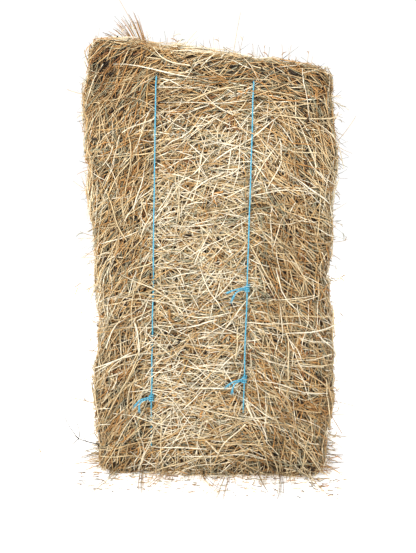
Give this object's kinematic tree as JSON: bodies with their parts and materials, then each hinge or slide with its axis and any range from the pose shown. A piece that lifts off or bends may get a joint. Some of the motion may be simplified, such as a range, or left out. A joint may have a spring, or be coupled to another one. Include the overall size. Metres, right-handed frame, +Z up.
{
  "type": "hay bale",
  "caption": "Small rectangular bale of dry hay standing on its end, packed in flakes and tied lengthwise with two knotted light blue twines, with loose stalks all round.",
  "frame": {"origin": "centre of the end that the bale stands on, at floor level", "axes": "+Z up along the bale's length, +Y towards the flush broad back face, so the knotted front face looks towards -Y; +X towards the shorter side"},
  "size_m": [0.6957, 0.5047, 0.9183],
  "materials": {
    "hay": "dry pressed grass stalks and leaf, dull",
    "stalk": "dry straw-coloured stems, dull with a slight sheen",
    "twine": "light blue twisted polypropylene baler twine, satin"
  },
  "bodies": {
    "root": {"flake_01": "hay", "flake_02": "hay", "flake_03": "hay", "flake_04": "hay", "flake_05": "hay", "flake_06": "hay", "flake_07": "hay", "flake_08": "hay", "flake_09": "hay", "flake_10": "hay", "flake_11": "hay", "flake_12": "hay", "flake_13": "hay", "flake_14": "hay", "knot_left": "twine", "knot_right_lower": "twine", "knot_right_upper": "twine", "loose_stalks_back": "stalk", "loose_stalks_base_left": "stalk", "loose_stalks_base_right": "stalk", "loose_stalks_floor": "stalk", "loose_stalks_left": "stalk", "loose_stalks_right": "stalk", "loose_stalks_top": "stalk", "tail_left_a": "twine", "tail_left_b": "twine", "tail_lower_a": "twine", "tail_lower_b": "twine", "tail_upper_a": "twine", "tail_upper_b": "twine", "tuft_top_left": "stalk", "twig_base_left": "stalk", "twine_left": "twine", "twine_right_between_knots": "twine", "twine_right_run": "twine"}
  },
  "joints": []
}
